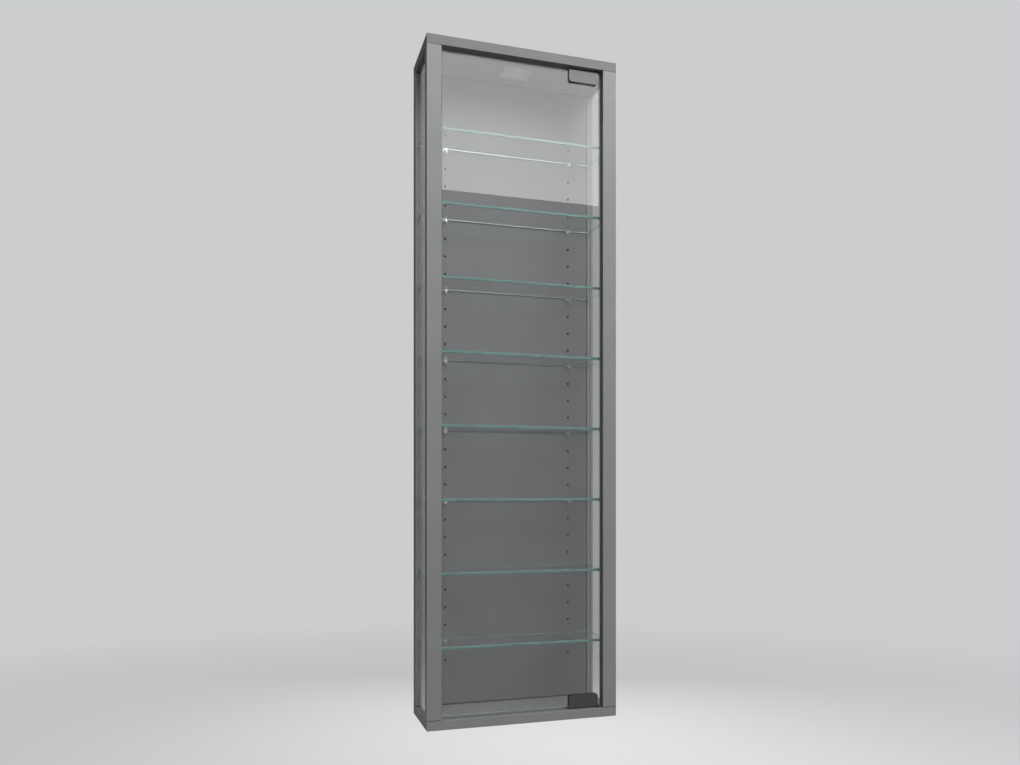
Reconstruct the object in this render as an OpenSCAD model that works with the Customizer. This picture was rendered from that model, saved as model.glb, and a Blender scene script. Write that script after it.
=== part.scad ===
// Wall mounted glass showcase: a shallow board cabinet with glass sides, eight glass
// shelves and an inset glass door on two pivot hinges, lit by a small ceiling lamp.
// Millimetres. +X to the right, +Z up, the front faces -Y and the wall is the plane Y = 0.
// The origin lies on the wall plane, midway between the two hanger eyes.

/* [Cabinet] */
// Overall width
cabinet_w = 347; // [340:1:400]
// Overall height
cabinet_h = 1180; // [1170:1:1200]
// Overall depth, from the wall to the front face
cabinet_d = 124; // [122:1:140]
// Thickness of every board
board_t = 16; // [16:1:18]
// Width of a front stile
front_stile_w = 25; // [24:1:30]
// Width of a rear stile
rear_stile_w = 14; // [14:1:18]
// Gap between the wall and the back panel
back_recess = 4; // [4:0.5:6]
// Shadow gap between the back panel and the boards around it
back_play = 0.8; // [0.3:0.1:0.8]
// Height of the top face above the hanger eyes
hang_drop = 70; // [60:1:90]
// Distance between the two hanger eyes
hanger_pitch = 200; // [160:1:210]

/* [Glass] */
// Thickness of the side panes and the door pane
pane_t = 4; // [4:0.5:5]
// Distance from the outer side face to a side pane
pane_inset = 5; // [5:0.5:6]
// Thickness of a shelf
shelf_t = 5; // [4:0.5:6]
// Distance from the front face to a shelf's front edge
shelf_front = 19.5; // [19.5:0.5:25]

/* [Shelf supports] */
// Number of shelves
shelf_count = 8; // [8]
// Holes in each column
hole_count = 31; // [31]
// Pitch of the holes
hole_pitch = 32; // [32]
// Height of the lowest hole above the bottom face
first_hole = 98; // [90:1:100]
// Holes from one shelf to the next
holes_per_shelf = 4; // [4]
// Distance from the outer side face to a rear column of holes
rear_column_x = 54; // [50:1:58]

/* [Door] */
// Gap above the door pane
door_gap_top = 3.5; // [3.5:0.5:5]
// Gap below the door pane
door_gap_bottom = 4.5; // [4.5:0.5:6]
// Gap at the door's free side
door_gap_free = 2.5; // [2.5:0.5:4]
// Gap at the hinged side
door_gap_hinge = 1.5; // [1.5:0.5:2]
// Distance from the front face to the door pane's face
door_setback = 10; // [10:0.5:11]
// Width of a hinge plate
hinge_w = 55; // [50:1:60]
// Height of a hinge plate
hinge_h = 23.5; // [23:0.5:30]

/* [Lamp] */
// Width of the ceiling lamp
lamp_w = 53; // [53:1:60]
// Depth of the ceiling lamp
lamp_d = 35; // [35:1:40]

/* [Hidden] */
$fn = 48;
eps = 0.01;
corner_step = 15;
pane_alpha = 0.35;
shelf_alpha = 0.45;
lens_alpha = 0.8;

// Levels and side faces
top_z = hang_drop;
bottom_z = hang_drop - cabinet_h;
ceiling_z = top_z - board_t;
floor_z = bottom_z + board_t;
side_x = cabinet_w / 2;
front_y = -cabinet_d;
back_face_y = -back_recess - board_t;
rear_stile_d = back_recess + board_t;

// Side panes and the grooves that hold them
groove_depth = 6;
groove_play = 0.2;
pane_hold = 5.5;
pane_front_y = front_y + board_t - pane_hold;
pane_rear_y = -rear_stile_d + pane_hold;

// Shelves and their pins
shelf_side_gap = 1;
shelf_half_w = side_x - pane_inset - pane_t - shelf_side_gap;
shelf_rear_gap = 1.5;
pin_r = 2.48;
pin_hole_r = 2.5;
pin_hole_depth = 10;
pin_in = 9.6;
pin_out = 9;
collar_r = 3.8;
collar_t = 1.2;
front_column_x = 17.5;
lowest_pin_hole = 1;
rear_hole_x = side_x - rear_column_x;
front_hole_x = side_x - front_column_x;

// Door pane, pivot line and hinge fittings
door_left = -side_x + front_stile_w + door_gap_free;
door_right = side_x - front_stile_w - door_gap_hinge;
door_bottom = floor_z + door_gap_bottom;
door_top = ceiling_z - door_gap_top;
door_front_y = front_y + door_setback;
door_rear_y = door_front_y + pane_t;
pivot_from_edge = 6.5;
pivot_behind_face = 1;
plate_from_edge = 6;
pivot_x = door_right - pivot_from_edge;
pivot_y = door_front_y + pivot_behind_face;
plate_right = door_right - plate_from_edge;
plate_left = plate_right - hinge_w;
plate_t = 2;
plate_corner_r = 4;
pad_t = 0.5;
pad_inset = 0.4;
hinge_gap = 1.5;
glass_play = 0.2;
rear_cheek_t = 3.5;
arm_r = 4;
top_glass_z = door_top + glass_play;
top_web_z = ceiling_z - hinge_gap;
top_free_z = top_web_z - hinge_h;
bottom_glass_z = door_bottom - glass_play;
bottom_web_z = floor_z + hinge_gap;
bottom_free_z = bottom_web_z + hinge_h;
pivot_r = 2;
pivot_len = 10;
pivot_head_r = 3.2;
pivot_head_t = 0.8;
bush_r = 4;
bush_bore_r = 2.05;
bush_depth = 11;
bush_flange_r = 5;
bush_flange_t = 1.2;
bush_end_t = 1;
bush_hole_spare = 0.3;
stop_w = 4;
stop_t = 2;
stop_drop = 1.8;
stop_play = 0.3;
clamp_screw_r = 2;
clamp_screw_x = 14;
clamp_socket_r = 1;
clamp_socket_depth = 1.2;
clamp_screw_stand_out = 0.3;
fit_play = 0.02;
pivot_head_play = 0.1;
pivot_head_sink = 0.05;

// Dowels and screws that join the boards
dowel_r = 3;
dowel_play = 0.05;
dowel_end_play = 0.5;
dowel_in_panel = 12;
dowel_in_stile = 18;
front_dowel_x = 16.5;
front_dowel_y = 6.8;
rear_dowel_y = 5;
frame_screw_r = 2;
frame_screw_len = 45;
frame_screw_head_r = 4;
frame_screw_head_t = 2.4;
frame_screw_x = 100;
frame_screw_y = -back_recess - board_t / 2;

// Lamp: tub in the ceiling, flange below it, then lens and switch side by side
lamp_forward = 4.5;
lamp_y = (front_y + board_t + back_face_y) / 2 - lamp_forward;
tub_w = 46;
tub_d = 28;
tub_h = 8.5;
tub_wall = 1.2;
tub_play = 0.2;
flange_t = 2;
lens_t = 2;
switch_w = 10;
switch_t = 1.2;
switch_play = 0.3;
lens_right = lamp_w / 2 - switch_w - switch_play;
flange_z = ceiling_z - flange_t;
stem_x = 18.5;
stem_r = 1.5;
stem_len = 5;
lamp_window_w = 34;
lamp_window_d = 22;
led_count = 3;
led_pitch = 10;
led_size = 3;
led_t = 0.8;
lamp_board_x = -5;
lamp_board_w = 32;
lamp_board_d = 24;
lamp_board_t = 1;
lamp_board_lift = 1.2;
cell_places = [-13.2, 3.6];
cell_lift = 2.6;
cell_r = 8;
cell_t = 3.2;

// Hanger brackets: a raised bridge with the eye, and a foot at each end
eye_r = 4;
bracket_h = 24;
bracket_t = 2;
bridge_half_w = 18;
foot_w = 14;
eye_pocket_r = 9;
eye_pocket_depth = 6;
hanger_screw_r = 1.75;
hanger_screw_len = 12;
hanger_screw_head_r = 3;
hanger_screw_head_t = 1.4;
hanger_screw_play = 0.2;

shelf_names = [for (i = [1:shelf_count]) str("shelf_", i)];

// ---- shared helpers ------------------------------------------------------------------

// A box between two opposite corners
module box(low, high) {
    translate(low) cube(high - low);
}

// Its children once on the right and once mirrored to the left
module both_sides() {
    children();
    mirror([1, 0, 0]) children();
}

function hole_z(k) = bottom_z + first_hole + hole_pitch * k;
function shelf_pin_z(i) = hole_z(lowest_pin_hole + holes_per_shelf * i);
function shelf_under_z(i) = shelf_pin_z(i) + pin_hole_r;

// A cylinder along Y that starts at the given Y
module y_cylinder(x, y, z, r, len) {
    translate([x, y, z]) rotate([-90, 0, 0]) cylinder(r = r, h = len);
}

// Space for the right side pane, used as the groove in the boards around it
module pane_groove() {
    box([side_x - pane_inset - pane_t - groove_play, front_y + board_t - groove_depth,
         floor_z - groove_depth],
        [side_x - pane_inset + groove_play, -rear_stile_d + groove_depth,
         ceiling_z + groove_depth]);
}

// ---- boards --------------------------------------------------------------------------

// Blind dowel holes of one corner, open to both boards
module dowel_at(x, y, z, r, below, above) {
    translate([x, y, z - below]) cylinder(r = r, h = below + above);
}

// The four dowels at one level; panel_side is +1 for the top panel and -1 for the bottom one
module dowels(z, panel_side, r, extra) {
    panel_len = dowel_in_panel + extra;
    stile_len = dowel_in_stile + extra;
    below = panel_side > 0 ? stile_len : panel_len;
    above = panel_side > 0 ? panel_len : stile_len;
    both_sides() {
        dowel_at(side_x - front_dowel_x, front_y + front_dowel_y, z, r, below, above);
        dowel_at(side_x - rear_stile_w / 2, -rear_dowel_y, z, r, below, above);
    }
}

module dowel_holes() {
    dowels(ceiling_z, 1, dowel_r + dowel_play, dowel_end_play);
    dowels(floor_z, -1, dowel_r + dowel_play, dowel_end_play);
}

// Two countersunk screws down through the top panel into the back panel
module frame_screw_pair(play) {
    both_sides() translate([frame_screw_x, frame_screw_y, top_z]) {
        translate([0, 0, -frame_screw_len])
            cylinder(r = frame_screw_r + play, h = frame_screw_len - eps);
        translate([0, 0, -frame_screw_head_t])
            cylinder(r1 = frame_screw_r + play, r2 = frame_screw_head_r + play,
                     h = frame_screw_head_t);
    }
}

// Its children as drawn at the top, and flipped about the cabinet's middle to the bottom
module flip_to_bottom() {
    translate([0, 0, top_z + bottom_z]) mirror([0, 0, 1]) children();
}

module bush_hole() {
    translate([pivot_x, pivot_y, ceiling_z - eps])
        cylinder(r = bush_r + dowel_play, h = bush_depth + bush_hole_spare);
}

module lamp_pocket() {
    half_w = tub_w / 2 + tub_play;
    half_d = tub_d / 2 + tub_play;
    box([-half_w, lamp_y - half_d, ceiling_z - eps],
        [half_w, lamp_y + half_d, ceiling_z + tub_h + 2 * tub_play]);
}

module top_panel() {
    color("#8e9091") difference() {
        box([-side_x, front_y, ceiling_z], [side_x, 0, top_z]);
        both_sides() pane_groove();
        dowel_holes();
        frame_screw_pair(dowel_play);
        bush_hole();
        lamp_pocket();
    }
}

module bottom_panel() {
    color("#8e9091") difference() {
        box([-side_x, front_y, bottom_z], [side_x, 0, floor_z]);
        both_sides() pane_groove();
        dowel_holes();
        flip_to_bottom() frame_screw_pair(dowel_play);
        flip_to_bottom() bush_hole();
    }
}

// Right-hand stiles; the left ones are their mirror images. The rear one ends level with the
// back panel's face
module front_stile() {
    difference() {
        box([side_x - front_stile_w, front_y, floor_z], [side_x, front_y + board_t, ceiling_z]);
        pane_groove();
        dowel_holes();
        for (k = [0:hole_count - 1])
            y_cylinder(front_hole_x, front_y + board_t - pin_hole_depth, hole_z(k),
                       pin_hole_r, pin_hole_depth + eps);
    }
}

module rear_stile() {
    difference() {
        box([side_x - rear_stile_w, -rear_stile_d, floor_z], [side_x, 0, ceiling_z]);
        pane_groove();
        dowel_holes();
    }
}

module front_stile_right() { color("#8e9091") front_stile(); }
module front_stile_left() { color("#8e9091") mirror([1, 0, 0]) front_stile(); }
module rear_stile_right() { color("#8e9091") rear_stile(); }
module rear_stile_left() { color("#8e9091") mirror([1, 0, 0]) rear_stile(); }

module back_panel() {
    color("#6f7172") difference() {
        box([-side_x + rear_stile_w + back_play, back_face_y, floor_z + back_play],
            [side_x - rear_stile_w - back_play, -back_recess, ceiling_z - back_play]);
        both_sides() for (k = [0:hole_count - 1])
            y_cylinder(rear_hole_x, back_face_y - eps, hole_z(k), pin_hole_r, pin_hole_depth + eps);
        frame_screw_pair(dowel_play);
        flip_to_bottom() frame_screw_pair(dowel_play);
        both_sides() {
            y_cylinder(hanger_pitch / 2, -back_recess - eye_pocket_depth, 0,
                       eye_pocket_r, eye_pocket_depth + eps);
            hanger_screw_pair(dowel_play);
        }
    }
}

module frame_dowels_top() { color("burlywood") dowels(ceiling_z, 1, dowel_r, 0); }
module frame_dowels_bottom() { color("burlywood") dowels(floor_z, -1, dowel_r, 0); }
module frame_screws_top() { color("silver") frame_screw_pair(0); }
module frame_screws_bottom() { color("silver") flip_to_bottom() frame_screw_pair(0); }

// ---- glass ---------------------------------------------------------------------------

module side_pane() {
    box([side_x - pane_inset - pane_t, pane_front_y, floor_z - pane_hold],
        [side_x - pane_inset, pane_rear_y, ceiling_z + pane_hold]);
}

module side_pane_right() { color("#bfd4cf", pane_alpha) side_pane(); }
module side_pane_left() { color("#bfd4cf", pane_alpha) mirror([1, 0, 0]) side_pane(); }

// Shelf number i, counted from 0 at the bottom
module shelf(i) {
    color("#9fd0c4", shelf_alpha)
        box([-shelf_half_w, front_y + shelf_front, shelf_under_z(i)],
            [shelf_half_w, back_face_y - shelf_rear_gap, shelf_under_z(i) + shelf_t]);
}

// A pin along +Y: the shank goes into the board, the collar stands on its face
module shelf_pin(x, face_y, z) {
    y_cylinder(x, face_y - pin_out, z, pin_r, pin_out + pin_in);
    y_cylinder(x, face_y - collar_t, z, collar_r, collar_t);
}

module rear_shelf_pins() {
    color("silver") for (i = [0:shelf_count - 1])
        both_sides() shelf_pin(rear_hole_x, back_face_y, shelf_pin_z(i));
}

module front_shelf_pins() {
    color("silver") for (i = [0:shelf_count - 1])
        both_sides() mirror([0, 1, 0])
            shelf_pin(front_hole_x, -(front_y + board_t), shelf_pin_z(i));
}

// ---- hangers -------------------------------------------------------------------------

// Raised bridge against the wall plane, its eye, and two feet on the back panel
module hanger_bracket() {
    eye_x = hanger_pitch / 2;
    half_h = bracket_h / 2;
    foot_out = bridge_half_w + foot_w;
    difference() {
        union() {
            box([eye_x - bridge_half_w, -bracket_t, -half_h], [eye_x + bridge_half_w, 0, half_h]);
            box([eye_x - foot_out, -back_recess, -half_h],
                [eye_x - bridge_half_w + bracket_t, -back_recess + bracket_t, half_h]);
            box([eye_x + bridge_half_w - bracket_t, -back_recess, -half_h],
                [eye_x + foot_out, -back_recess + bracket_t, half_h]);
        }
        y_cylinder(eye_x, -bracket_t - eps, 0, eye_r, bracket_t + 2 * eps);
        hanger_screw_pair(hanger_screw_play);
    }
}

// The two screws of the right bracket, from the wall side into the back panel
module hanger_screw_pair(play) {
    foot_face_y = -back_recess + bracket_t;
    for (side = [-1, 1])
        y_cylinder(hanger_pitch / 2 + side * (bridge_half_w + foot_w / 2),
                   foot_face_y - hanger_screw_len, 0, hanger_screw_r + play,
                   hanger_screw_len + eps);
}

module hanger_bracket_right() { color("gainsboro") hanger_bracket(); }
module hanger_bracket_left() { color("gainsboro") mirror([1, 0, 0]) hanger_bracket(); }

module hanger_screws() {
    color("silver") both_sides() {
        hanger_screw_pair(0);
        for (side = [-1, 1])
            y_cylinder(hanger_pitch / 2 + side * (bridge_half_w + foot_w / 2),
                       -back_recess + bracket_t, 0, hanger_screw_head_r, hanger_screw_head_t);
    }
}

// ---- door ----------------------------------------------------------------------------

module door_pane() {
    color("#bfd4cf", pane_alpha)
        box([door_left, door_front_y, door_bottom], [door_right, door_rear_y, door_top]);
}

// Outline of a hinge cheek in X and Z, its two free corners rounded
module cheek_outline(edge_z, free_z, inset) {
    left = plate_left + inset;
    right = plate_right - inset;
    down = free_z < edge_z ? 1 : -1;
    free = free_z + down * inset;
    r = plate_corner_r - inset;
    polygon([[left, edge_z], [right, edge_z],
             for (a = [0:corner_step:90])
                 [right - r + r * cos(a), free + down * (r - r * sin(a))],
             for (a = [90:corner_step:180])
                 [left + r + r * cos(a), free + down * (r - r * sin(a))]]);
}

// A cheek or pad standing between two Y planes
module cheek(y0, y1, edge_z, free_z, inset) {
    translate([0, y1, 0]) rotate([90, 0, 0])
        linear_extrude(y1 - y0) cheek_outline(edge_z, free_z, inset);
}

// One-piece clip over the pane's edge: front plate, web with the pivot arm, rear cheek
module hinge_clip(glass_z, web_z, free_z) {
    low = min(glass_z, web_z);
    high = max(glass_z, web_z);
    front_plane = door_front_y - pad_t - plate_t;
    rear_plane = door_rear_y + pad_t + rear_cheek_t;
    difference() {
        union() {
            cheek(front_plane, door_front_y - pad_t, web_z, free_z, 0);
            cheek(door_rear_y + pad_t, rear_plane, web_z, free_z, 0);
            box([plate_left, front_plane, low], [plate_right, rear_plane, high]);
            box([plate_right - eps, pivot_y - arm_r, low], [pivot_x, pivot_y + arm_r, high]);
            translate([pivot_x, pivot_y, low]) cylinder(r = arm_r, h = high - low);
        }
        translate([pivot_x, pivot_y, low - eps])
            cylinder(r = pivot_r + fit_play, h = high - low + 2 * eps);
        translate([pivot_x, pivot_y, glass_z < web_z ? low - eps : high - pivot_head_t])
            cylinder(r = pivot_head_r + pivot_head_play, h = pivot_head_t + eps);
        for (side = [-1, 1])
            y_cylinder((plate_left + plate_right) / 2 + side * clamp_screw_x,
                       door_rear_y, (free_z + glass_z) / 2, clamp_screw_r + fit_play,
                       pad_t + rear_cheek_t + eps);
    }
}

// Two set screws through the rear cheek that press the rear pad on the glass
module clamp_screw_pair(glass_z, free_z) {
    z = (free_z + glass_z) / 2;
    tip_y = door_rear_y + pad_t + fit_play;
    end_y = door_rear_y + pad_t + rear_cheek_t + clamp_screw_stand_out;
    for (side = [-1, 1]) {
        x = (plate_left + plate_right) / 2 + side * clamp_screw_x;
        difference() {
            y_cylinder(x, tip_y, z, clamp_screw_r, end_y - tip_y);
            y_cylinder(x, end_y - clamp_socket_depth, z, clamp_socket_r, clamp_socket_depth + eps);
        }
    }
}

module hinge_clip_top() { color("#3f4142") hinge_clip(top_glass_z, top_web_z, top_free_z); }
module hinge_clip_bottom() {
    color("#3f4142") hinge_clip(bottom_glass_z, bottom_web_z, bottom_free_z);
}

module hinge_clamp_screws_top() {
    color("dimgray") clamp_screw_pair(top_glass_z, top_free_z);
}
module hinge_clamp_screws_bottom() {
    color("dimgray") clamp_screw_pair(bottom_glass_z, bottom_free_z);
}

module hinge_front_pad_top() {
    color("#1c1d1e") cheek(door_front_y - pad_t, door_front_y, door_top, top_free_z, pad_inset);
}
module hinge_front_pad_bottom() {
    color("#1c1d1e") cheek(door_front_y - pad_t, door_front_y, door_bottom, bottom_free_z, pad_inset);
}
module hinge_rear_pad_top() {
    color("#1c1d1e") cheek(door_rear_y, door_rear_y + pad_t, door_top, top_free_z, pad_inset);
}
module hinge_rear_pad_bottom() {
    color("#1c1d1e") cheek(door_rear_y, door_rear_y + pad_t, door_bottom, bottom_free_z, pad_inset);
}

// Headed pivot of the top hinge; its head sits in the web, over the pane's upper edge
module hinge_pivot(head_z) {
    translate([pivot_x, pivot_y, head_z]) {
        cylinder(r = pivot_head_r, h = pivot_head_t - pivot_head_sink);
        cylinder(r = pivot_r, h = pivot_len);
    }
}

module hinge_pivot_top() { color("silver") hinge_pivot(top_glass_z); }
module hinge_pivot_bottom() {
    color("silver") translate([0, 0, 2 * bottom_glass_z]) mirror([0, 0, 1])
        hinge_pivot(bottom_glass_z);
}

// Flanged bush in the top panel, with a lug that stops the clip's rear cheek when the door is shut
module hinge_bush() {
    lug_y = door_rear_y + pad_t + rear_cheek_t + stop_play;
    lug_x = plate_right - stop_w;
    difference() {
        union() {
            translate([pivot_x, pivot_y, ceiling_z]) cylinder(r = bush_r, h = bush_depth);
            translate([pivot_x, pivot_y, ceiling_z - bush_flange_t])
                cylinder(r = bush_flange_r, h = bush_flange_t);
            box([lug_x, lug_y, ceiling_z - bush_flange_t - stop_drop],
                [plate_right, lug_y + stop_t, ceiling_z]);
            box([lug_x, pivot_y + bush_bore_r, ceiling_z - bush_flange_t],
                [plate_right, lug_y + stop_t, ceiling_z]);
        }
        translate([pivot_x, pivot_y, ceiling_z - bush_flange_t - eps])
            cylinder(r = bush_bore_r, h = bush_depth + bush_flange_t - bush_end_t);
    }
}

module hinge_bush_top() { color("#2b2c2d") hinge_bush(); }
module hinge_bush_bottom() { color("#2b2c2d") flip_to_bottom() hinge_bush(); }

// ---- lamp ----------------------------------------------------------------------------

module lamp_housing() {
    color("#d9dbdc") difference() {
        union() {
            box([-lamp_w / 2, lamp_y - lamp_d / 2, flange_z],
                [lamp_w / 2, lamp_y + lamp_d / 2, ceiling_z]);
            box([-tub_w / 2, lamp_y - tub_d / 2, ceiling_z - eps],
                [tub_w / 2, lamp_y + tub_d / 2, ceiling_z + tub_h]);
        }
        box([-tub_w / 2 + tub_wall, lamp_y - tub_d / 2 + tub_wall, ceiling_z],
            [tub_w / 2 - tub_wall, lamp_y + tub_d / 2 - tub_wall, ceiling_z + tub_h - tub_wall]);
        translate([lamp_board_x, 0, 0])
            box([-lamp_window_w / 2, lamp_y - lamp_window_d / 2, flange_z - eps],
                [lamp_window_w / 2, lamp_y + lamp_window_d / 2, ceiling_z + eps]);
        translate([stem_x, lamp_y, flange_z - eps])
            cylinder(r = stem_r + switch_play, h = flange_t + 2 * eps);
    }
}

module lamp_lens() {
    color("#eceeee", lens_alpha)
        box([-lamp_w / 2, lamp_y - lamp_d / 2, flange_z - lens_t],
            [lens_right, lamp_y + lamp_d / 2, flange_z]);
}

// The switch plate lies beside the lens; its stem reaches up into the housing
module lamp_switch() {
    plate_z = flange_z - lens_t;
    color("#d3d5d6") union() {
        box([lamp_w / 2 - switch_w, lamp_y - lamp_d / 2, plate_z],
            [lamp_w / 2, lamp_y + lamp_d / 2, plate_z + switch_t]);
        translate([stem_x, lamp_y, plate_z]) cylinder(r = stem_r, h = stem_len);
    }
}

// Circuit board over the window, with the light emitters on its underside
module lamp_led_board() {
    color("#2f6b4a") translate([lamp_board_x, lamp_y, ceiling_z + lamp_board_lift]) union() {
        box([-lamp_board_w / 2, -lamp_board_d / 2, 0],
            [lamp_board_w / 2, lamp_board_d / 2, lamp_board_t]);
        for (i = [0:led_count - 1])
            translate([(i - (led_count - 1) / 2) * led_pitch, 0, 0])
                box([-led_size / 2, -led_size / 2, -led_t], [led_size / 2, led_size / 2, eps]);
    }
}

module lamp_cells() {
    color("silver") for (x = cell_places)
        translate([x, lamp_y, ceiling_z + cell_lift]) cylinder(r = cell_r, h = cell_t);
}

// ---- the model -----------------------------------------------------------------------

top_panel();
bottom_panel();
front_stile_left();
front_stile_right();
rear_stile_left();
rear_stile_right();
back_panel();
side_pane_left();
side_pane_right();
rear_shelf_pins();
front_shelf_pins();
frame_dowels_top();
frame_dowels_bottom();
frame_screws_top();
frame_screws_bottom();
hinge_bush_top();
hinge_bush_bottom();
hanger_bracket_left();
hanger_bracket_right();
hanger_screws();
lamp_housing();
lamp_lens();
lamp_led_board();
lamp_cells();
lamp_switch();
door_pane();
hinge_clip_top();
hinge_clip_bottom();
hinge_front_pad_top();
hinge_front_pad_bottom();
hinge_rear_pad_top();
hinge_rear_pad_bottom();
hinge_pivot_top();
hinge_pivot_bottom();
hinge_clamp_screws_top();
hinge_clamp_screws_bottom();
for (i = [0:shelf_count - 1])
    shelf(i);
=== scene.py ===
import math

import bmesh
import bpy
from mathutils import Matrix, Vector


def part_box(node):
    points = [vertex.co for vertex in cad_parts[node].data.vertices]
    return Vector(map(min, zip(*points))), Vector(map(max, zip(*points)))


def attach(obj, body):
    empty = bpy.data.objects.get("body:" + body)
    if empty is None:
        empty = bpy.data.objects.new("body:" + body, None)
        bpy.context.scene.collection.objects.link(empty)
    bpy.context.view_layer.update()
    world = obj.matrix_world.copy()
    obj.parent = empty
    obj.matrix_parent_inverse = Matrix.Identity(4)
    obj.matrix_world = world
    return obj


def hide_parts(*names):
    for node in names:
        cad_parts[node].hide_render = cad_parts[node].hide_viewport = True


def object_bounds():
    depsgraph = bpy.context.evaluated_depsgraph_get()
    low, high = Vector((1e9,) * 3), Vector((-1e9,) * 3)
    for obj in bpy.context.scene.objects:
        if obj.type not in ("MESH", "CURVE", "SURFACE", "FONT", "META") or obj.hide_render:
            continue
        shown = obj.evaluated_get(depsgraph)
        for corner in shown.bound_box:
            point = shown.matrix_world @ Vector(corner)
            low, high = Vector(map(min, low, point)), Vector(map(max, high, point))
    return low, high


# A wall mounted glass showcase. CAD gives every board, pane, pin and hinge its place.
# This script gives them their surfaces, grinds the edges of the glass and details the screws.
# Metres. +X to the right, +Z up, the front faces -Y and the wall is the plane Y = 0.

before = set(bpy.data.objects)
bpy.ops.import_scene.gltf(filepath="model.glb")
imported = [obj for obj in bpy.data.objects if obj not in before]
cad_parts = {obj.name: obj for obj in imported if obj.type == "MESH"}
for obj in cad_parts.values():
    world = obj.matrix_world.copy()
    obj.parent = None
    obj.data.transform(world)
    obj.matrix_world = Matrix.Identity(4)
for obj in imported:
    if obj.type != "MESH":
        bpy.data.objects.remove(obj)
cad_low, cad_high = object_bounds()

SHELVES = sorted(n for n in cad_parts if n.startswith("shelf_"))
BOARDS = ["top_panel", "bottom_panel", "front_stile_left", "front_stile_right",
          "rear_stile_left", "rear_stile_right"]

BOARD_ARRIS = 0.0008
SMALL_ARRIS = 0.0004
FINE_ARRIS = 0.0003
PANE_ARRIS = 0.0005
SHELF_ARRIS = 0.0007

# ---- camera, light and floor ---------------------------------------------------------

# The eye stands left of the cabinet's middle, low, and looks level, turned to the right
EYE_LEFT = 0.4483
EYE_FROM_WALL = 1.5092
EYE_ABOVE_BASE = 0.4064
EYE_TURN = math.radians(16.92)
LENS = 29.39
SENSOR_W = 36
SHIFT_Y = 0.1063

FLOOR_BELOW = 0.62
FLOOR_REACH = 30
FLOOR_FADE = (0.8, 5)

# The key's height and size place the edge of the bright area that the door mirrors
KEY_X = 1.6
KEY_FROM_FRONT = 2.5
KEY_ABOVE_BASE = 1.85
KEY_SIZE = (5.0, 3.0)
KEY_WATTS = 148
KEY_COLOUR = (0.985, 0.99, 1.0)
OVERHEAD_X = 0.55
OVERHEAD_FROM_FRONT = 0.75
OVERHEAD_ABOVE_TOP = 0.95
OVERHEAD_SIZE = (1.5, 1.3)
OVERHEAD_WATTS = 15
REAR_FILL_PLACE = (0.9, 2.5)
REAR_FILL_AIM = (0, 0, -0.5)
REAR_FILL_SIZE = (2, 2)
REAR_FILL_WATTS = 30

# The surroundings: where they are bright, how bright, and how bright they look
SKY_COLOUR = (0.97, 0.985, 1.0)
SKY_TOWARDS = (0.80, -0.15, 0.50)
SKY_FACING = (-0.6, 0.8)
SKY_LEVEL = (0.08, 0.62)
SKY_SEEN = 0.62
SKY_THROUGH_GLASS = 0.40


def make_camera():
    data = bpy.data.cameras.new("camera")
    data.lens = LENS
    data.sensor_width = SENSOR_W
    data.shift_y = SHIFT_Y
    camera = bpy.data.objects.new("camera", data)
    bpy.context.collection.objects.link(camera)
    middle_x = (cad_low.x + cad_high.x) / 2
    camera.location = (middle_x - EYE_LEFT, cad_high.y - EYE_FROM_WALL, cad_low.z + EYE_ABOVE_BASE)
    camera.rotation_euler = (math.pi / 2, 0, -EYE_TURN)
    bpy.context.scene.camera = camera


def make_panel_light(name, place, aim, size, watts, colour=(1, 1, 1)):
    data = bpy.data.lights.new(name, "AREA")
    data.shape = "RECTANGLE"
    data.size, data.size_y = size
    data.energy = watts
    data.color = colour
    light = bpy.data.objects.new(name, data)
    bpy.context.collection.objects.link(light)
    light.location = place
    light.rotation_euler = (Vector(aim) - Vector(place)).to_track_quat("-Z", "Y").to_euler()
    light.visible_camera = False
    return light


def make_lights():
    # A wide soft panel, high in front and to the right; the door mirrors its lower edge
    key_z = cad_low.z + KEY_ABOVE_BASE + KEY_SIZE[1] / 2
    make_panel_light("key", (KEY_X, cad_low.y - KEY_FROM_FRONT, key_z), (KEY_X, 0, key_z),
                     KEY_SIZE, KEY_WATTS, KEY_COLOUR)
    over = (OVERHEAD_X, cad_low.y - OVERHEAD_FROM_FRONT, cad_high.z + OVERHEAD_ABOVE_TOP)
    make_panel_light("overhead", over, (over[0], over[1], cad_low.z), OVERHEAD_SIZE,
                     OVERHEAD_WATTS)
    # A fill for the wall side; neither mirrored nor seen through the side panes
    fill = make_panel_light("rear_fill", (*REAR_FILL_PLACE, cad_high.z), REAR_FILL_AIM,
                            REAR_FILL_SIZE, REAR_FILL_WATTS)
    fill.visible_transmission = False
    fill.visible_glossy = False


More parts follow.
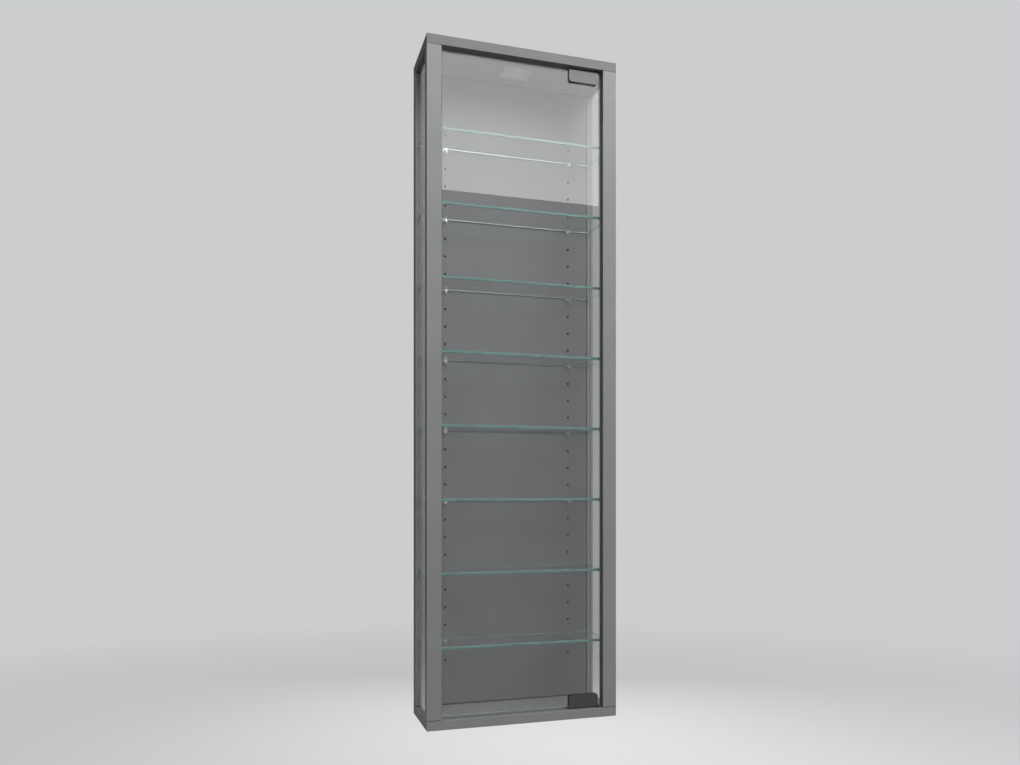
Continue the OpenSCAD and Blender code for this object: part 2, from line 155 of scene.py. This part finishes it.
def make_world():
    """Pale where it is seen; as a light it is dim on the left and bright above and right."""
    world = bpy.data.worlds.new("studio")
    bpy.context.scene.world = world
    world.use_nodes = True
    tree = world.node_tree
    background = tree.nodes["Background"]
    background.inputs["Color"].default_value = (*SKY_COLOUR, 1)
    towards = tree.nodes.new("ShaderNodeVectorMath")
    towards.operation = "DOT_PRODUCT"
    towards.inputs[1].default_value = SKY_TOWARDS
    tree.links.new(tree.nodes.new("ShaderNodeTexCoord").outputs["Generated"], towards.inputs[0])
    level = tree.nodes.new("ShaderNodeMapRange")
    level.inputs["From Min"].default_value = SKY_FACING[0]
    level.inputs["From Max"].default_value = SKY_FACING[1]
    level.inputs["To Min"].default_value = SKY_LEVEL[0]
    level.inputs["To Max"].default_value = SKY_LEVEL[1]
    tree.links.new(towards.outputs["Value"], level.inputs["Value"])
    path = tree.nodes.new("ShaderNodeLightPath")
    strength = level.outputs["Result"]
    for kind, seen in (("Is Transmission Ray", SKY_THROUGH_GLASS), ("Is Camera Ray", SKY_SEEN)):
        choose = tree.nodes.new("ShaderNodeMix")
        tree.links.new(path.outputs[kind], choose.inputs["Factor"])
        tree.links.new(strength, choose.inputs["A"])
        choose.inputs["B"].default_value = seen
        strength = choose.outputs["Result"]
    tree.links.new(strength, background.inputs["Strength"])


def make_floor():
    mesh = bpy.data.meshes.new("floor")
    build = bmesh.new()
    bmesh.ops.create_grid(build, x_segments=4, y_segments=4, size=FLOOR_REACH)
    build.to_mesh(mesh)
    build.free()
    floor = bpy.data.objects.new("floor", mesh)
    bpy.context.collection.objects.link(floor)
    floor.location.z = cad_low.z - FLOOR_BELOW
    floor.data.materials.append(plaster_material())


# ---- node helpers --------------------------------------------------------------------


class Nodes:
    """A material's node tree, with short calls to add nodes and join them."""

    def __init__(self, name):
        self.material = bpy.data.materials.new(name)
        self.material.use_nodes = True
        self.tree = self.material.node_tree
        self.tree.nodes.clear()
        self.output = self.add("OutputMaterial")
        self.place = self.add("TexCoord").outputs["Object"]

    def add(self, kind, **values):
        node = self.tree.nodes.new("ShaderNode" + kind)
        for key, value in values.items():
            setattr(node, key, value)
        return node

    def join(self, source, target):
        self.tree.links.new(source, target)

    def fill(self, node, **values):
        for key, value in values.items():
            socket = node.inputs[key.replace("_", " ")]
            if isinstance(value, bpy.types.NodeSocket):
                self.join(value, socket)
            else:
                socket.default_value = value
        return node

    def noise(self, scale, detail=3.0, roughness=0.55, stretch=None):
        place = self.place
        if stretch is not None:
            mapping = self.add("Mapping")
            self.join(place, mapping.inputs["Vector"])
            mapping.inputs["Scale"].default_value = stretch
            place = mapping.outputs["Vector"]
        node = self.add("TexNoise")
        self.fill(node, Vector=place, Scale=scale, Detail=detail, Roughness=roughness)
        return node.outputs["Fac"]

    def remap(self, value, low, high, to_low=0.0, to_high=1.0):
        node = self.add("MapRange")
        self.fill(node, Value=value, From_Min=low, From_Max=high, To_Min=to_low, To_Max=to_high)
        return node.outputs["Result"]

    def math(self, operation, a, b=0.0):
        node = self.add("Math", operation=operation)
        for socket, value in zip(node.inputs, (a, b)):
            if isinstance(value, bpy.types.NodeSocket):
                self.join(value, socket)
            else:
                socket.default_value = value
        return node.outputs["Value"]

    def blend(self, share, first, second):
        node = self.add("Mix", data_type="RGBA")
        for socket, value in ((node.inputs["Factor"], share), (node.inputs[6], first),
                              (node.inputs[7], second)):
            if isinstance(value, bpy.types.NodeSocket):
                self.join(value, socket)
            else:
                socket.default_value = value if isinstance(value, float) else (*value, 1)
        return node.outputs[2]

    def bump(self, height, strength, distance, under=None):
        node = self.add("Bump")
        self.fill(node, Height=height, Strength=strength, Distance=distance)
        if under is not None:
            self.join(under, node.inputs["Normal"])
        return node.outputs["Normal"]

    def normal_part(self, axis):
        """How far the face points along an axis of the cabinet, 0 to 1."""
        split = self.add("SeparateXYZ")
        self.join(self.add("TexCoord").outputs["Normal"], split.inputs["Vector"])
        return self.math("ABSOLUTE", split.outputs[axis])

    def rear_edge(self):
        """1 on faces that look at the wall within a millimetre of it, else 0."""
        near_wall = cad_high.y - 0.001
        faces_wall = 0.7
        facing = self.add("SeparateXYZ")
        self.join(self.add("TexCoord").outputs["Normal"], facing.inputs["Vector"])
        place = self.add("SeparateXYZ")
        self.join(self.place, place.inputs["Vector"])
        behind = self.math("GREATER_THAN", place.outputs["Y"], near_wall)
        turned = self.math("GREATER_THAN", facing.outputs["Y"], faces_wall)
        return self.math("MULTIPLY", behind, turned)

    def near_planes(self, planes, close, far):
        """1 within close of any of the given (axis, position) planes, 0 beyond far."""
        place = self.add("SeparateXYZ")
        self.join(self.place, place.inputs["Vector"])
        nearest = None
        for axis, position in planes:
            gap = self.math("ABSOLUTE", self.math("SUBTRACT", place.outputs[axis], position))
            nearest = gap if nearest is None else self.math("MINIMUM", nearest, gap)
        return self.remap(nearest, far, close)

    def principled(self, **values):
        return self.fill(self.add("BsdfPrincipled"), **values)

    def finish(self, shader):
        self.join(shader, self.output.inputs["Surface"])
        return self.material


def grey(value):
    return (value, value * 1.006, value * 1.015)


# ---- materials -----------------------------------------------------------------------

GLASS_IOR = 1.5


def plaster_material():
    """Pale floor that gives little light back and fades out before its far edge."""
    nodes = Nodes("pale_floor")
    colour = nodes.blend(nodes.noise(1.3, 4), (0.76, 0.76, 0.76), (0.80, 0.80, 0.80))
    scattered = nodes.add("LightPath").outputs["Is Diffuse Ray"]
    colour = nodes.blend(scattered, colour, (0.18, 0.18, 0.18))
    shader = nodes.principled(Base_Color=colour, Roughness=0.8)
    away = nodes.add("VectorMath", operation="LENGTH")
    nodes.join(nodes.place, away.inputs[0])
    mix = nodes.add("MixShader")
    nodes.join(nodes.remap(away.outputs["Value"], *FLOOR_FADE), mix.inputs[0])
    nodes.join(shader.outputs["BSDF"], mix.inputs[1])
    nodes.join(nodes.add("BsdfTransparent").outputs[0], mix.inputs[2])
    return nodes.finish(mix.outputs[0])


def melamine_material(name, tone, upright_painted_light=1.0, painted_joint_shade=None):
    """Grey decor on board: fine pearled grain, cloudy tone and a painted highlight on the arrises.

    The upright faces take a factor on their tone that paints shade below 1 and light above 1,
    the rear edges are raw chipboard, and thin dark bands of painted shade, standing for the
    shadow in the joints between boards, run along the given planes, each an (axis, position).
    """
    speck_tone = 0.94
    arris_highlight_tone = 2.6
    joint_shade_tone = 0.12
    joint_shade_half, joint_shade_end = 0.0011, 0.0015
    raw_roughness = 0.85
    chip_height = 4.0
    nodes = Nodes(name)
    specks = nodes.remap(nodes.noise(700, 1, 0.4), 0.62, 0.72, 1.0, speck_tone)
    shade = nodes.remap(nodes.noise(14, 4), 0.0, 1.0, tone * 0.9, tone * 1.1)
    shade = nodes.math("MULTIPLY", shade, specks)
    # Painted highlight: the arrises are lightened where the edges would catch the light
    arris_highlight = nodes.remap(edge_wear_and_highlight(nodes, BOARD_ARRIS), 0.0, 1.0, 1.0, arris_highlight_tone)
    shade = nodes.math("MULTIPLY", shade, arris_highlight)
    # Painted light and shade: upright faces darker or lighter than the flat faces of the same
    # board
    if upright_painted_light != 1.0:
        upright = nodes.remap(nodes.normal_part("Z"), 0.3, 0.7, upright_painted_light, 1.0)
        shade = nodes.math("MULTIPLY", shade, upright)
    # Painted shade: a dark band along the joints stands for the shadow in the gap between boards
    if painted_joint_shade is not None:
        joint_shade_band = nodes.near_planes(painted_joint_shade, joint_shade_half, joint_shade_end)
        shade = nodes.math("MULTIPLY", shade, nodes.remap(joint_shade_band, 0.0, 1.0, 1.0, joint_shade_tone))
    colour = nodes.blend(shade, (0.0, 0.0, 0.0), grey(1.0))
    chips = nodes.add("TexVoronoi")
    nodes.fill(chips, Vector=nodes.place, Scale=620.0)
    chip_colour = nodes.blend(nodes.remap(chips.outputs["Distance"], 0.1, 0.6),
                              (0.50, 0.37, 0.23), (0.23, 0.15, 0.08))
    chip_colour = nodes.blend(nodes.noise(260, 3), chip_colour, (0.58, 0.45, 0.30))
    raw = nodes.rear_edge()
    colour = nodes.blend(raw, colour, chip_colour)
    gloss = nodes.remap(nodes.noise(40, 3), 0.3, 0.7, 0.40, 0.50)
    gloss = nodes.math("MAXIMUM", gloss, nodes.math("MULTIPLY", raw, raw_roughness))
    rough = nodes.math("MULTIPLY", chips.outputs["Distance"],
                       nodes.math("MULTIPLY", raw, chip_height))
    height = nodes.math("ADD", nodes.noise(1500, 2, 0.7), rough)
    shader = nodes.principled(Base_Color=colour, Roughness=gloss,
                              Normal=nodes.bump(height, 0.25, 0.00006))
    shader.inputs["Specular IOR Level"].default_value = 0.4
    return nodes.finish(shader.outputs["BSDF"])


# An edge mask: the melamine uses it for a painted highlight, the powder coat for rubbed wear
def edge_wear_and_highlight(nodes, width):
    """1 along sharp edges, 0 on flat faces, broken up by noise."""
    flat_dot, edge_dot = 0.995, 0.90
    rounded = nodes.add("Bevel", samples=4)
    rounded.inputs["Radius"].default_value = width
    flat = nodes.add("NewGeometry").outputs["True Normal"]
    dot = nodes.add("VectorMath", operation="DOT_PRODUCT")
    nodes.join(rounded.outputs["Normal"], dot.inputs[0])
    nodes.join(flat, dot.inputs[1])
    edge = nodes.remap(dot.outputs["Value"], flat_dot, edge_dot)
    return nodes.math("MULTIPLY", edge, nodes.remap(nodes.noise(90, 3), 0.35, 0.65, 0.4))


def let_light_through(nodes, shader, tint):
    """Lamps and scattered light pass straight through, so glass casts no dark shadow."""
    path = nodes.add("LightPath")
    straight = nodes.math("MAXIMUM", path.outputs["Is Shadow Ray"], path.outputs["Is Diffuse Ray"])
    clear = nodes.add("BsdfTransparent")
    clear.inputs["Color"].default_value = (*tint, 1)
    mix = nodes.add("MixShader")
    nodes.join(straight, mix.inputs[0])
    nodes.join(shader, mix.inputs[1])
    nodes.join(clear.outputs[0], mix.inputs[2])
    return mix.outputs[0]


def glass_material(name, tint, through):
    """Polished sheet glass with a faint cloudy film of wiped dust."""
    film_tone = 0.99
    nodes = Nodes(name)
    film = nodes.noise(22, 4, stretch=(1, 1, 0.35))
    colour = nodes.blend(film, tuple(c * film_tone for c in tint), tint)
    shader = nodes.principled(Base_Color=colour, Roughness=0.0)
    shader.inputs["Transmission Weight"].default_value = 1.0
    shader.inputs["IOR"].default_value = GLASS_IOR
    return nodes.finish(let_light_through(nodes, shader.outputs["BSDF"], through))


def ground_edge_material(name, deep, pale):
    """The ground and polished edge of float glass: green, with paler streaks of painted light
    where light gathers.
    """
    nodes = Nodes(name)
    # Painted light: paler streaks stand for light gathering in the edge
    painted_light_streaks = nodes.noise(60, 4, stretch=(1, 1, 8))
    colour = nodes.blend(nodes.remap(painted_light_streaks, 0.35, 0.65), deep, pale)
    fine = nodes.bump(nodes.noise(2500, 2), 0.15, 0.00003)
    shader = nodes.principled(Base_Color=colour, Roughness=0.22, Normal=fine)
    shader.inputs["Transmission Weight"].default_value = 0.45
    shader.inputs["IOR"].default_value = GLASS_IOR
    return nodes.finish(shader.outputs["BSDF"])


def coated_metal_material(name, tone):
    """Powder coat: orange peel, faint speckle, lighter rubbed arrises."""
    rubbed_share, rubbed_tone = 0.4, 3
    nodes = Nodes(name)
    peel = nodes.noise(2200, 2, 0.5)
    colour = nodes.blend(nodes.noise(300, 3), grey(tone * 0.85), grey(tone * 1.15))
    rubbed = nodes.math("MULTIPLY", edge_wear_and_highlight(nodes, SMALL_ARRIS), rubbed_share)
    colour = nodes.blend(rubbed, colour, grey(tone * rubbed_tone))
    gloss = nodes.remap(nodes.noise(120, 3), 0.3, 0.7, 0.14, 0.22)
    shader = nodes.principled(Base_Color=colour, Roughness=gloss,
                              Normal=nodes.bump(peel, 0.15, 0.00002))
    shader.inputs["Specular IOR Level"].default_value = 0.75
    return nodes.finish(shader.outputs["BSDF"])


def plated_material(name, tone, warm, roughness, stretch):
    """Zinc or nickel plate: fine drawn lines, cloudy tone, small dull spots."""
    dull_tone = 0.82
    nodes = Nodes(name)
    lines = nodes.noise(900, 3, stretch=stretch)
    clouds = nodes.noise(160, 4)
    bright = (tone * warm, tone, tone * (2 - warm))
    dull = tuple(c * dull_tone for c in bright)
    colour = nodes.blend(clouds, dull, bright)
    gloss = nodes.remap(clouds, 0.3, 0.7, roughness - 0.06, roughness + 0.1)
    shader = nodes.principled(Base_Color=colour, Roughness=gloss,
                              Normal=nodes.bump(lines, 0.12, 0.00005))
    shader.inputs["Metallic"].default_value = 1
    return nodes.finish(shader.outputs["BSDF"])


def rubber_material():
    nodes = Nodes("black_elastomer")
    colour = nodes.blend(nodes.noise(500, 3), grey(0.012), grey(0.03))
    shader = nodes.principled(Base_Color=colour, Roughness=0.7,
                              Normal=nodes.bump(nodes.noise(1800, 2), 0.3, 0.00005))
    return nodes.finish(shader.outputs["BSDF"])


def moulded_material(name, tone, roughness):
    """Moulded plastic with a spark-eroded texture."""
    nodes = Nodes(name)
    colour = nodes.blend(nodes.noise(30, 3), grey(tone * 0.96), grey(min(tone * 1.04, 1)))
    gloss = nodes.remap(nodes.noise(250, 3), 0.3, 0.7, roughness - 0.05, roughness + 0.08)
    shader = nodes.principled(Base_Color=colour, Roughness=gloss,
                              Normal=nodes.bump(nodes.noise(2600, 2), 0.2, 0.00004))
    return nodes.finish(shader.outputs["BSDF"])


def beech_material():
    nodes = Nodes("beech")
    rings = nodes.noise(260, 4, stretch=(1, 1, 0.12))
    colour = nodes.blend(rings, (0.46, 0.29, 0.15), (0.68, 0.48, 0.28))
    shader = nodes.principled(Base_Color=colour, Roughness=0.6,
                              Normal=nodes.bump(rings, 0.3, 0.0001))
    return nodes.finish(shader.outputs["BSDF"])


def circuit_material():
    nodes = Nodes("solder_mask")
    tracks = nodes.remap(nodes.noise(220, 0), 0.5, 0.53)
    colour = nodes.blend(tracks, (0.012, 0.09, 0.04), (0.03, 0.2, 0.09))
    shader = nodes.principled(Base_Color=colour, Roughness=0.3)
    return nodes.finish(shader.outputs["BSDF"])


def dress(material, *names):
    for name in names:
        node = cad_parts[name]
        node.data.materials.clear()
        node.data.materials.append(material)


# ---- mesh helpers --------------------------------------------------------------------


def soften(names, width):
    """Breaks the sharp edges of CAD nodes with a small rounded arris."""
    weld_distance = 0.00001
    sharp_from = math.radians(40)
    for name in names:
        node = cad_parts[name]
        weld = node.modifiers.new("weld", "WELD")
        weld.merge_threshold = weld_distance
        bevel = node.modifiers.new("arris", "BEVEL")
        bevel.width = width
        bevel.segments = 2
        bevel.limit_method = "ANGLE"
        bevel.angle_limit = sharp_from
        bevel.harden_normals = True


def new_piece(name, build, materials, body, slot, *replaced):
    mesh = bpy.data.meshes.new(name)
    build.to_mesh(mesh)
    build.free()
    piece = bpy.data.objects.new(name, mesh)
    bpy.context.collection.objects.link(piece)
    for material in materials:
        mesh.materials.append(material)
    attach(piece, body)
    if replaced:
        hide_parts(*replaced)
    return piece


def sheet_of_glass(name, arris, materials, body, slot):
    """A glass sheet in the box of a CAD node: two polished faces, ground edges, flat arrises."""
    low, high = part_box(name)
    size = high - low
    thin = min(range(3), key=lambda axis: size[axis])
    build = bmesh.new()
    bmesh.ops.create_cube(build, size=1.0)
    bmesh.ops.transform(build, matrix=Matrix.Diagonal((*size, 1)), verts=build.verts)
    bmesh.ops.translate(build, vec=(low + high) / 2, verts=build.verts)
    bmesh.ops.bevel(build, geom=build.edges[:], offset=arris, segments=1, affect="EDGES")
    for face in build.faces:
        face.material_index = 0 if abs(face.normal[thin]) > 0.9 else 1
    return new_piece(name + "_glass", build, materials, body, slot, name)


def loose_boxes(name):
    """The boxes of the separate solids in a CAD node."""
    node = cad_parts[name]
    build = bmesh.new()
    build.from_mesh(node.data)
    bmesh.ops.remove_doubles(build, verts=build.verts[:], dist=0.000001)
    build.verts.index_update()
    reached = set()
    boxes = []
    for start in build.verts:
        if start.index in reached:
            continue
        reached.add(start.index)
        queue, island = [start], []
        while queue:
            vert = queue.pop()
            island.append(node.matrix_world @ vert.co)
            for edge in vert.link_edges:
                other = edge.other_vert(vert)
                if other.index not in reached:
                    reached.add(other.index)
                    queue.append(other)
        boxes.append([Vector(pick(point[axis] for point in island) for axis in range(3))
                      for pick in (min, max)])
    build.free()
    return boxes


def fluted_dowels(name, material):
    """Upright dowels with pressed flutes and chamfered ends."""
    flutes = 14
    per_flute = 4
    steps = flutes * per_flute
    flute_depth = 0.00022
    chamfer = 0.0008
    build = bmesh.new()
    for low, high in loose_boxes(name):
        radius = (high.x - low.x) / 2
        middle = (low + high) / 2
        rings = []
        for z, shrink in ((low.z, chamfer), (low.z + chamfer, 0), (high.z - chamfer, 0),
                          (high.z, chamfer)):
            ring = []
            for k in range(steps):
                angle = 2 * math.pi * k / steps
                reach = radius - shrink - (flute_depth if k % per_flute == 0 else 0)
                ring.append(build.verts.new((middle.x + reach * math.cos(angle),
                                             middle.y + reach * math.sin(angle), z)))
            rings.append(ring)
        for lower, upper in zip(rings, rings[1:]):
            for k in range(steps):
                after = (k + 1) % steps
                build.faces.new((lower[k], lower[after], upper[after], upper[k]))
        build.faces.new(rings[0])
        build.faces.new(rings[-1])
    bmesh.ops.recalc_face_normals(build, faces=build.faces[:])
    return new_piece(name + "_fluted", build, (material,), "cabinet", "beech", name)


SCREW_SIDES = 24


def cross_recess(arm, half):
    """The twelve corners of a cross with arms of the given length and half width."""
    quarter = [(arm, -half), (arm, half), (half, half)]
    corners = []
    for _ in range(4):
        corners += quarter
        quarter = [(-y, x) for x, y in quarter]
    return corners


def threaded_shank(length, radius):
    """Profile (radius, height) of a pointed, ringed shank that ends at height 0."""
    pitch = 0.0016
    root = radius * 0.72
    tip = radius * 0.08
    thread_start = -length + 2 * radius
    profile = [(tip, -length), (root, thread_start)]
    turns = int((length - 3 * radius) / pitch)
    for turn in range(turns):
        start = thread_start + turn * pitch
        profile += [(root, start + pitch * 0.35), (radius, start + pitch * 0.5),
                    (root, start + pitch * 0.65)]
    return profile + [(root, 0)]


def add_screw(build, place, profile):
    """A turned screw from its profile, its flat head closed by a cross recess."""
    rings = []
    for radius, height in profile:
        turns = [2 * math.pi * k / SCREW_SIDES for k in range(SCREW_SIDES)]
        rings.append([build.verts.new(place @ Vector((radius * math.cos(a),
                                                      radius * math.sin(a), height)))
                      for a in turns])
    for lower, upper in zip(rings, rings[1:]):
        for k in range(SCREW_SIDES):
            after = (k + 1) % SCREW_SIDES
            build.faces.new((lower[k], lower[after], upper[after], upper[k]))
    build.faces.new(rings[0])
    head_r, top = profile[-1]
    mouth_arm, mouth_half = head_r * 0.68, head_r * 0.17
    bottom_arm, bottom_half = head_r * 0.34, head_r * 0.11
    mouth = [build.verts.new(place @ Vector((x, y, top)))
             for x, y in cross_recess(mouth_arm, mouth_half)]
    depth = top - head_r * 0.5
    bottom = [build.verts.new(place @ Vector((x, y, depth)))
              for x, y in cross_recess(bottom_arm, bottom_half)]
    rim = []
    for loop in (rings[-1], mouth):
        for k, vert in enumerate(loop):
            after = loop[(k + 1) % len(loop)]
            rim.append(build.edges.get((vert, after)) or build.edges.new((vert, after)))
    bmesh.ops.triangle_fill(build, use_beauty=True, use_dissolve=False, edges=rim)
    for k in range(len(mouth)):
        after = (k + 1) % len(mouth)
        build.faces.new((mouth[k], mouth[after], bottom[after], bottom[k]))
    build.faces.new(bottom)


def screw_set(name, places, profile, material):
    build = bmesh.new()
    for place in places:
        add_screw(build, place, profile)
    bmesh.ops.recalc_face_normals(build, faces=build.faces[:])
    return new_piece(name + "_cross_head", build, (material,), "cabinet", "zinc", name)


def frame_screws(name, up, material):
    """Two countersunk screws, flush with a panel's outer face; up is 1 at the top, -1 below."""
    low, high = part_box(name)
    head_r = (high.y - low.y) / 2
    shank_r, head_t = head_r / 2, head_r * 0.6
    spin = 0.4
    outer_z = high.z if up > 0 else low.z
    turn = Matrix.Identity(4) if up > 0 else Matrix.Rotation(math.pi, 4, "X")
    places = []
    for side in (-1, 1):
        centre = Vector((side * (high.x - head_r), (low.y + high.y) / 2, outer_z))
        places.append(Matrix.Translation(centre) @ turn @ Matrix.Rotation(spin * side, 4, "Z"))
    shank = [(r, z - head_t) for r, z in threaded_shank(high.z - low.z - head_t, shank_r)]
    profile = shank + [(shank_r, -head_t), (head_r * 0.96, -0.00025), (head_r, -0.00015),
                       (head_r, -0.00005), (head_r * 0.97, 0)]
    return screw_set(name, places, profile, material)


def bracket_screws(name, bracket, material):
    """Four pan head screws through the feet of the hanger brackets, driven from the wall side."""
    low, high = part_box(name)
    head_r = (high.z - low.z) / 2
    bracket_low, bracket_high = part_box(bracket)
    middle = (bracket_low.x + bracket_high.x) / 2
    reach = high.x - head_r - middle
    head_t = 0.0014
    turn = Matrix.Rotation(-math.pi / 2, 4, "X")
    places = []
    for side in (-1, 1):
        for step in (-reach, reach):
            centre = Vector((side * (middle + step), high.y, 0))
            spin = Matrix.Rotation(1.3 * side + 40 * step, 4, "Z")
            places.append(Matrix.Translation(centre) @ turn @ spin)
    shank_r = head_r * 0.58
    shank = [(r, z - head_t) for r, z in threaded_shank(high.y - low.y - head_t, shank_r)]
    profile = shank + [(head_r, -head_t), (head_r, -head_t * 0.55),
                       (head_r * 0.94, -head_t * 0.25), (head_r * 0.82, -head_t * 0.06),
                       (head_r * 0.66, 0)]
    return screw_set(name, places, profile, material)


# ---- the object ----------------------------------------------------------------------

make_camera()
make_lights()
make_world()
make_floor()

# Dark bands of painted shade at the stile ends stand for the shadow in their joints with the
# panels
stile_low, stile_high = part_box("front_stile_left")
stile_ends = (("Z", stile_low.z), ("Z", stile_high.z))
dress(melamine_material("grey_melamine", 0.24, painted_joint_shade=stile_ends),
      "front_stile_left", "front_stile_right", "rear_stile_left", "rear_stile_right")
# One grey decor: the top panel's upright faces get painted shade; the bottom panel's flat faces
# get a lower tone as painted shade and its front painted light
dress(melamine_material("grey_melamine_top", 0.25, upright_painted_light=0.58), "top_panel")
dress(melamine_material("grey_melamine_bottom", 0.205, upright_painted_light=1.2), "bottom_panel")
# Dark bands of painted shade round the back panel stand for the shadow gap at its edges
back_low, back_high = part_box("back_panel")
back_edges = (("X", back_low.x), ("X", back_high.x), ("Z", back_low.z), ("Z", back_high.z))
dress(melamine_material("dark_melamine", 0.16, painted_joint_shade=back_edges), "back_panel")
soften(BOARDS, BOARD_ARRIS)
soften(["back_panel"], FINE_ARRIS)

clear_glass = glass_material("clear_glass", (0.99, 0.992, 0.992), (0.965, 0.968, 0.968))
shelf_glass = glass_material("shelf_glass", (0.975, 0.988, 0.984), (0.94, 0.953, 0.95))
clear_edge = ground_edge_material("clear_glass_edge", (0.20, 0.27, 0.26), (0.42, 0.50, 0.48))
shelf_edge = ground_edge_material("shelf_glass_edge", (0.12, 0.27, 0.24), (0.24, 0.44, 0.40))

sheet_of_glass("door_pane", PANE_ARRIS, (clear_glass, clear_edge), "door", "clear_glass")
for pane in ("side_pane_left", "side_pane_right"):
    sheet_of_glass(pane, PANE_ARRIS, (clear_glass, clear_edge), "cabinet", "clear_glass")
for shelf in SHELVES:
    sheet_of_glass(shelf, SHELF_ARRIS, (shelf_glass, shelf_edge), "cabinet", "shelf_glass")

nickel = plated_material("nickel", 0.72, 1.01, 0.22, (1, 1, 12))
zinc = plated_material("zinc", 0.74, 0.98, 0.34, (10, 1, 1))
coat = coated_metal_material("anthracite_coat", 0.038)
rubber = rubber_material()
dress(nickel, "rear_shelf_pins", "front_shelf_pins", "hinge_pivot_top", "hinge_pivot_bottom",
      "lamp_cells")
soften(["rear_shelf_pins", "front_shelf_pins"], FINE_ARRIS)
dress(zinc, "hanger_bracket_left", "hanger_bracket_right")
frame_screws("frame_screws_top", 1, zinc)
frame_screws("frame_screws_bottom", -1, zinc)
bracket_screws("hanger_screws", "hanger_bracket_right", zinc)
soften(["hanger_bracket_left", "hanger_bracket_right"], SMALL_ARRIS)
dress(coat, "hinge_clip_top", "hinge_clip_bottom", "hinge_clamp_screws_top",
      "hinge_clamp_screws_bottom")
soften(["hinge_clip_top", "hinge_clip_bottom"], SMALL_ARRIS)
dress(rubber, "hinge_front_pad_top", "hinge_front_pad_bottom",
      "hinge_rear_pad_top", "hinge_rear_pad_bottom")
dress(moulded_material("polyamide", 0.03, 0.45), "hinge_bush_top", "hinge_bush_bottom")
beech = beech_material()
fluted_dowels("frame_dowels_top", beech)
fluted_dowels("frame_dowels_bottom", beech)
dress(moulded_material("lamp_shell", 0.42, 0.4), "lamp_housing", "lamp_switch")
dress(moulded_material("opal_lens", 0.62, 0.4), "lamp_lens")
soften(["lamp_switch", "lamp_lens"], SMALL_ARRIS)
dress(circuit_material(), "lamp_led_board")

bpy.context.scene.view_settings.view_transform = "Standard"
